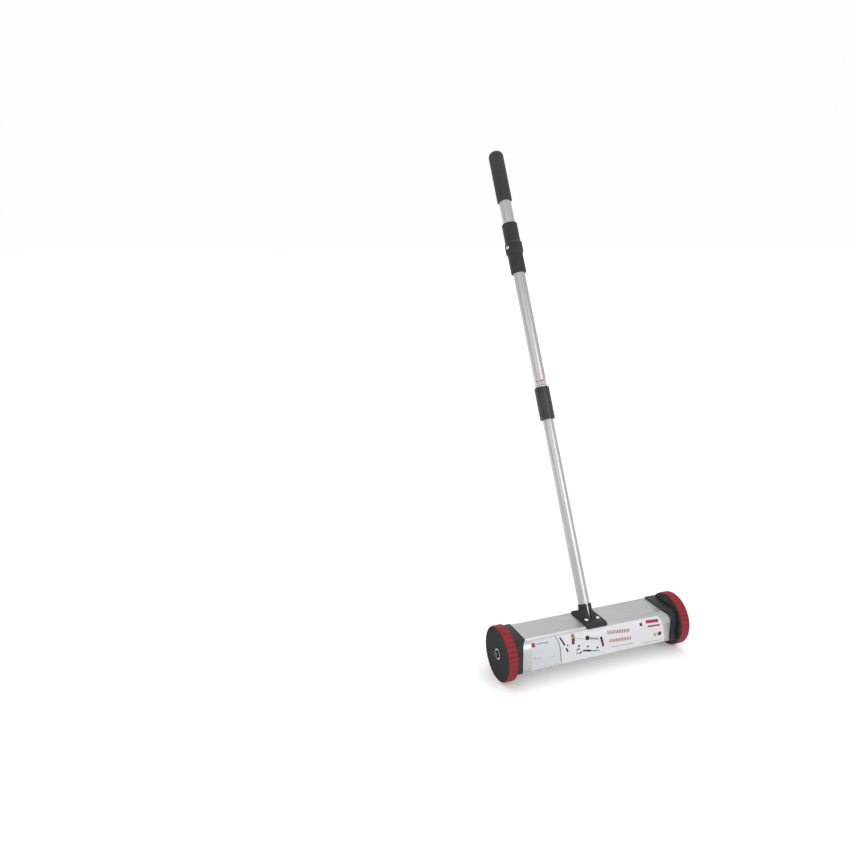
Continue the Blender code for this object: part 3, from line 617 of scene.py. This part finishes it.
# ---------------------------------------------------------------- handle
def handle():
    """The tubes, the twist lock's sleeve, the coupling's collar and button, and the grip."""
    def ring_piece(name, profile, mat, body, node, segments=96, angle=35, radius=0.3):
        """A turned piece on the handle's axis. Its profile and its corners' radius are in mm."""
        profile = rounded(millimetres(profile), radius * MM, 4, all(r > 0 for r, _ in profile))
        piece(name, turned(profile, segments), mat, body, [node], HANDLE, angle)

    def tube_profile(node, thick):
        """A tube's profile in mm, as long and as wide as its CAD node."""
        low, high, radius = along(node)
        low, high, radius = low / MM, high / MM, radius / MM
        return [(radius - thick, low), (radius, low), (radius, high), (radius - thick, high)]

    # the lower tube's foot is cut level with the housing
    _, end, radius = along("lower_tube")
    inner = radius - 1.2 * MM
    profile = rounded([(inner, -9 * MM), (radius, -9 * MM), (radius, end), (inner, end)], 0.3 * MM, 3, True)
    tube = solid_from(helper("tube", turned(profile, 96), HANDLE), [("DIFFERENCE", ground(1.9))])
    tube.transform(HANDLE.inverted())
    piece("lower_handle_tube", tube, TUBE, "chassis", ["lower_tube"], HANDLE)
    ring_piece("middle_handle_tube", tube_profile("middle_tube", 1.05), TUBE, "handle_upper", "middle_tube")
    ring_piece("upper_handle_tube", tube_profile("upper_tube", 1.05), TUBE, "handle_upper", "upper_tube")

    low, high, _ = (v / MM for v in along("lock_sleeve"))
    ring_piece("twist_lock_sleeve", [(11.35, low), (14.3, low), (15.25, low + 1.3), (15.25, low + 9.6),
               (15.0, low + 9.9), (15.0, low + 10.5), (15.25, low + 10.8), (15.25, high - 1.2), (14.5, high),
               (12.85, high), (12.85, high - 4), (13.35, high - 5), (13.35, low + 3.4), (11.35, low + 3.4)],
               GLOSS, "lock_sleeve", "lock_sleeve", segments=128, angle=50,
               radius=0.25)

    low, high, _ = (v / MM for v in along("upper_collar"))
    button = Vector(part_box("spring_button")[0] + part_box("spring_button")[1]) / 2
    middle = (HANDLE.inverted() @ button).z / MM
    press = -Vector(joints["button_press"]["axis"]).normalized()
    local = (HANDLE.to_3x3().inverted() @ press).normalized()
    turn_out = local.to_track_quat("Z", "Y").to_matrix().to_4x4()
    button_place = HANDLE @ Matrix.Translation((0, 0, middle * MM)) @ turn_out
    outline = [(12.8, low), (15.3, low), (16.0, low + 1), (16.0, middle - 13), (18.5, middle - 9.6),
               (18.5, middle + 9.6), (16.0, middle + 13), (16.0, high - 1), (15.3, high), (12.8, high)]
    outline = rounded(millimetres(outline), 1.1 * MM, 5, True)
    start = helper("collar", turned(outline, 128), HANDLE)
    way = turned(millimetres([(0, 8), (4.3, 8), (4.3, 18.0), (5.4, 18.9), (5.4, 30), (0, 30)]), 64)
    collar = solid_from(start, [("DIFFERENCE", helper("way", way, button_place))])
    piece("coupling_collar", collar, BLACK, "handle_upper", ["upper_collar"], angle=40)
    cap = millimetres([(0, 7.0), (5.1, 7.0), (5.1, 8.2), (3.9, 8.2), (3.9, 19.4), (3.5, 20.2), (2.5, 20.8),
                       (1.2, 21.05), (0, 21.1)])
    piece("round_button", turned(rounded(cap, 0.25 * MM, 3), 64), STEEL, "spring_button", ["spring_button"],
          button_place, angle=40)

    low, high, _ = (v / MM for v in along("grip"))
    angles = np.linspace(0, math.pi / 2, 25)[:-1]
    dome = [(15.6 * math.cos(a) ** 0.85, high - 13 + 13 * math.sin(a)) for a in angles]
    shape = [(0, low + 79), (12.8, low + 79), (12.8, low), (14.7, low), (15.6, low + 1.2), (15.6, low + 5.0),
             (15.25, low + 5.6), (15.25, low + 6.6), (15.6, low + 7.2)] + dome + [(0, high)]
    ring_piece("rubber_grip", shape, RUBBER, "handle_upper", "grip", angle=55, radius=0.35)


# ---------------------------------------------------------------- printed labels
def plain_print(name, colour, roughness=0.42):
    """Printed film: its colour drifts a little, as ink on a thin film does."""
    made, tree, shader = shader_of(name, colour, roughness, 0.0, Specular_IOR_Level=0.35)
    cloud = texture(tree, "Noise", 60.0, detail=3.0)
    darker = tuple(c * 0.95 for c in colour)
    tree.links.new(ramp(tree, cloud, darker, colour), shader.inputs["Base Color"])
    tree.links.new(ramp(tree, cloud, roughness - 0.04, roughness + 0.05), shader.inputs["Roughness"])
    return made


FILM = plain_print("label_film", (0.555, 0.555, 0.570))
PALE = plain_print("label_pale_blue", (0.475, 0.50, 0.51))
SILVER = plain_print("label_silver", (0.56, 0.57, 0.57))
INK = plain_print("label_black", (0.004, 0.004, 0.005), 0.5)
GREY = plain_print("label_grey", (0.22, 0.23, 0.24))
LIGHT_GREY = plain_print("label_light_grey", (0.42, 0.43, 0.46))
PRINT_RED = plain_print("label_red", (0.27, 0.016, 0.052))
DEEP_RED = plain_print("label_deep_red", (0.10, 0.005, 0.018))
ORANGE = plain_print("label_orange", (0.30, 0.13, 0.055))
YELLOW = plain_print("label_yellow", (0.36, 0.33, 0.045))
FLAT = SHOULDER_Z - SKIRT_Z  # how far up the skin its flat part reaches
LAYER, FILM_FOOT, FILM_TOP = 0.05 * MM, 0.02 * MM, 0.07 * MM  # a layer's rise, the lowest film's faces


def front_point(x, s, lift):
    """A place on the front: s is the distance up the skin from the skirt's foot, lift stands off it."""
    if s <= FLAT:
        return Vector((x, BODY_Y - BODY_HALF - lift, SKIRT_Z + s))
    angle = (s - FLAT) / SHOULDER_R
    reach = SHOULDER_R + lift
    return Vector((x, BODY_Y - SHOULDER_Y - reach * math.cos(angle), SHOULDER_Z + reach * math.sin(angle)))


def decal(name, outline, layer, mat):
    """A closed thin print on the front. Its outline is (x, s) in mm; layers stack outwards."""
    low, high = layer * LAYER + FILM_FOOT, layer * LAYER + FILM_TOP
    bm = extruded(millimetres(outline), low, high, "Z")
    top = max(v.co.y for v in bm.verts)
    level = FLAT
    while level < top:
        geom = bm.verts[:] + bm.edges[:] + bm.faces[:]
        bmesh.ops.bisect_plane(bm, geom=geom, plane_co=(0, level, 0), plane_no=(0, 1, 0))
        level += 1.6 * MM
    for vert in bm.verts:
        vert.co = front_point(*vert.co)
    piece(name, bm, mat, "chassis", angle=30)


def bar(x0, s0, x1, s1, width):
    """A straight stroke's outline."""
    a, b = Vector((x0, s0)), Vector((x1, s1))
    across = (b - a).normalized().orthogonal() * width / 2
    return [tuple(a + across), tuple(b + across), tuple(b - across), tuple(a - across)]


def dot(x, s, radius):
    """A round dot's outline."""
    angles = [2 * math.pi * i / 20 for i in range(20)]
    return [(x + radius * math.cos(a), s + radius * math.sin(a)) for a in angles]


def front_label():
    """The printed label: plain shapes only, with nothing to read."""
    right_end = [(146.0, 1.5), (145.5, 8), (144.5, 15), (142.5, 26), (139.0, 38), (134.5, 50), (131.5, 55.5)]
    film = [(-141.0, 1.5)] + right_end + [(-141.0, 57.5)]
    decal("label_film", film, 0, FILM)
    field = [(-141.0, 4.0), (-78.0, 4.0), (-79.6, 16), (-81.5, 32), (-84.5, 45), (-88.0, 57.0),
             (-141.0, 57.0)]
    decal("label_pale_field", field, 1, PALE)
    curve = [(-78.4, 4.0), (-79.9, 16), (-81.8, 32), (-84.8, 45), (-88.2, 57.0)]
    decal("label_curve", curve + [(x - 2.4, s) for x, s in reversed(curve)], 2, GREY)
    decal("label_edge", bar(-136.2, 3.2, -80.0, 3.2, 1.2), 1, LIGHT_GREY)

    # top left: a plain red square with a grey bar; bottom left: a few grey bars
    decal("mark_square", bar(-140.2, 49.9, -133.2, 49.6, 7.4), 2, PRINT_RED)
    decal("mark_grey", bar(-130.6, 50.4, -106.0, 49.6, 2.2), 2, GREY)
    decal("note_tick", bar(-135.6, 26.6, -135.6, 21.6, 1.2), 2, GREY)
    notes = ((23.2, -121.0, GREY), (18.4, -92.0, LIGHT_GREY), (15.0, -97.0, LIGHT_GREY),
             (11.6, -90.5, LIGHT_GREY))
    for index, (s, end, mat) in enumerate(notes):
        decal(f"note_bar_{index}", bar(-134.6, s, end, s, 1.1), 2, mat)

    # two slanted strokes and a dot
    decal("stroke_upper", bar(-82.0, 53.6, -74.2, 37.6, 3.2), 2, INK)
    decal("stroke_lower", bar(-71.0, 31.4, -66.6, 23.2, 3.0), 2, INK)
    decal("stroke_dot", dot(-68.0, 36.4, 1.7), 2, INK)

    # a plain drawing of a bar on two wheels
    decal("drawn_wheel_left_top", [(-58.6, 46.5), (-51.8, 47.2), (-51.6, 55.0), (-59.0, 54.6)], 2, ORANGE)
    decal("drawn_wheel_left_foot", [(-59.0, 46.4), (-52.4, 47.0), (-54.0, 35.6), (-59.4, 36.4)], 2, DEEP_RED)
    decal("drawn_bar_left", bar(-50.5, 47.8, -30.0, 43.6, 3.0), 2, SILVER)
    decal("drawn_bar_right", bar(-22.0, 41.6, -2.5, 36.6, 3.0), 2, GREY)
    decal("drawn_bar_line", bar(-50.5, 46.0, -2.0, 34.9, 0.8), 3, GREY)
    decal("drawn_knob", dot(-26.2, 42.6, 4.3), 3, INK)
    decal("drawn_wheel_right_top", bar(2.2, 39.4, 5.4, 29.4, 4.6), 2, INK)
    decal("drawn_wheel_right_foot", bar(5.4, 29.4, 8.8, 18.4, 4.4), 2, DEEP_RED)
    for index, (x, s) in enumerate(((-44.0, 30.4), (-25.0, 25.4), (-4.0, 18.6))):
        decal(f"drawn_dot_{index}", dot(x, s, 2.1), 2, INK)
    scraps = ((-48.8, 22.4, -41.6, 24.6, 2.6), (-46.6, 18.6, -48.4, 13.4, 1.8),
              (-43.4, 14.2, -37.6, 17.0, 2.8), (-35.0, 18.6, -29.4, 17.4, 3.2),
              (-30.0, 19.4, -24.0, 14.6, 2.0), (-27.6, 17.4, -17.6, 15.0, 3.4),
              (-17.4, 15.6, -11.0, 12.6, 1.4), (-11.2, 12.6, -6.4, 13.6, 1.8), (-6.4, 13.6, 1.4, 11.0, 1.2))
    for index, stroke in enumerate(scraps):
        decal(f"drawn_scrap_{index}", bar(*stroke), 2, INK)

    # two rows of upright red strokes, all of one height, with a thin line below
    for row, (start, s, slope) in enumerate(((18.0, 44.4, -0.095), (22.4, 27.0, -0.085))):
        for index in range(14):
            x = start + 3.5 * index
            level = s + slope * (x - start)
            decal(f"title_{row}_{index}", bar(x, level - 3.4, x, level + 3.4, 1.7), 2, PRINT_RED)
    decal("title_line", bar(26.0, 13.2, 76.0, 11.4, 1.1), 2, GREY)

    # a small square and two red bars, a yellow square and a red disc on the right
    decal("badge_square", bar(87.8, 46.3, 93.6, 46.0, 6.0), 2, DEEP_RED)
    decal("badge_bar_upper", bar(102.4, 48.8, 130.0, 47.0, 6.0), 2, PRINT_RED)
    decal("badge_bar_lower", bar(105.0, 39.8, 132.6, 38.0, 3.4), 2, PRINT_RED)
    decal("small_square", bar(119.6, 19.6, 126.6, 19.2, 7.2), 2, YELLOW)
    decal("small_disc", dot(133.4, 19.8, 4.2), 2, DEEP_RED)
    decal("small_line", bar(98.0, 6.2, 139.0, 5.4, 1.0), 2, GREY)


def ring_label():
    """Short printed dashes round the front of the middle tube, just above the twist lock."""
    _, sleeve_top, _ = along("lock_sleeve")
    radius = along("middle_tube")[2]

    def patch(name, start, end, low, high, layer, mat):
        """A print between two angles in degrees and two heights in mm above the twist lock."""
        inner, outer = radius + layer * LAYER + FILM_FOOT, radius + layer * LAYER + FILM_TOP
        angles = [math.radians(a) for a in np.arange(start, end + 0.1, 4.0)]
        outline = [(outer * math.cos(a), outer * math.sin(a)) for a in angles]
        outline += [(inner * math.cos(a), inner * math.sin(a)) for a in reversed(angles)]
        bm = extruded(outline, sleeve_top + low * MM, sleeve_top + high * MM, "Z")
        piece(name, bm, mat, "handle_upper", place=HANDLE, angle=40)

    patch("tube_label", -172, -44, 2.0, 15.0, 0, SILVER)
    for index, start in enumerate(range(-160, -70, 16)):
        patch(f"tube_dash_{index}", start, start + 12, 10.4, 13.8, 1, INK if index in (0, 3) else PRINT_RED)
    for index, start in enumerate(range(-158, -72, 14)):
        patch(f"tube_tick_{index}", start, start + 8, 6.6, 9.2, 1, INK if index % 3 == 1 else PRINT_RED)
    for index, start in enumerate(range(-160, -70, 20)):
        patch(f"tube_foot_{index}", start, start + 12, 2.8, 5.4, 1, PRINT_RED if index % 3 == 1 else INK)


# ---------------------------------------------------------------- CAD pieces that stay as they are
def carried():
    """Gives each hidden CAD piece its finish."""
    for node, mat in (("magnet_cover", ALUMINIUM), ("keeper_channel", STEEL), ("backing_plate", STEEL),
                      ("coupling_spigot", STEEL), ("button_spring", STEEL), ("socket_screw", ZINC),
                      ("tube_guide", NYLON), ("lock_collet", NYLON)):
        carry(node, mat)
    for row in ("front", "rear"):
        for column in ("left", "middle", "right"):
            carry(f"magnet_{row}_{column}", FERRITE)
        for side in ("left", "right"):
            carry(f"cover_screw_{row}_{side}", ZINC)
            carry(f"cap_screw_{side}_{row}", ZINC)
    for side in ("left", "right"):
        for node, mat in (("axle_plate_", STEEL), ("axle_bolt_", DARK_STEEL), ("inner_washer_", ZINC),
                          ("bush_", NYLON), ("bracket_nut_", ZINC)):
            carry(node + side, mat)


for label, side in (("left", -1), ("right", 1)):
    end_cap(label, side)
    wheel(label, side)
bracket()
handle()
front_label()
ring_label()
carried()


# ---------------------------------------------------------------- floor
def floor():
    """A plain pale floor that gets brighter with distance, like a studio sweep."""
    bm = bmesh.new()
    bmesh.ops.create_circle(bm, cap_ends=True, segments=96, radius=24.0)
    mesh = bpy.data.meshes.new("floor")
    bm.to_mesh(mesh)
    bm.free()
    made, tree, shader = shader_of("pale_floor", (0.86, 0.86, 0.86), 0.75)
    tree.links.new(ramp(tree, texture(tree, "Noise", 2.0), 0.85, 0.87), shader.inputs["Base Color"])
    place = tree.nodes.new("ShaderNodeTexCoord")
    reach = tree.nodes.new("ShaderNodeVectorMath")
    reach.operation = "LENGTH"
    tree.links.new(place.outputs["Object"], reach.inputs[0])
    glow = tree.nodes.new("ShaderNodeMapRange")
    for socket, value in (("From Min", 0.5), ("From Max", 2.6), ("To Min", 0.12), ("To Max", 0.75)):
        glow.inputs[socket].default_value = value
    tree.links.new(reach.outputs["Value"], glow.inputs["Value"])
    tree.links.new(glow.outputs["Result"], shader.inputs["Emission Strength"])
    shader.inputs["Emission Color"].default_value = (1.0, 1.0, 1.0, 1.0)
    mesh.materials.append(made)
    obj = bpy.data.objects.new("floor", mesh)
    scene.collection.objects.link(obj)
    obj.location.z = -0.0005


floor()
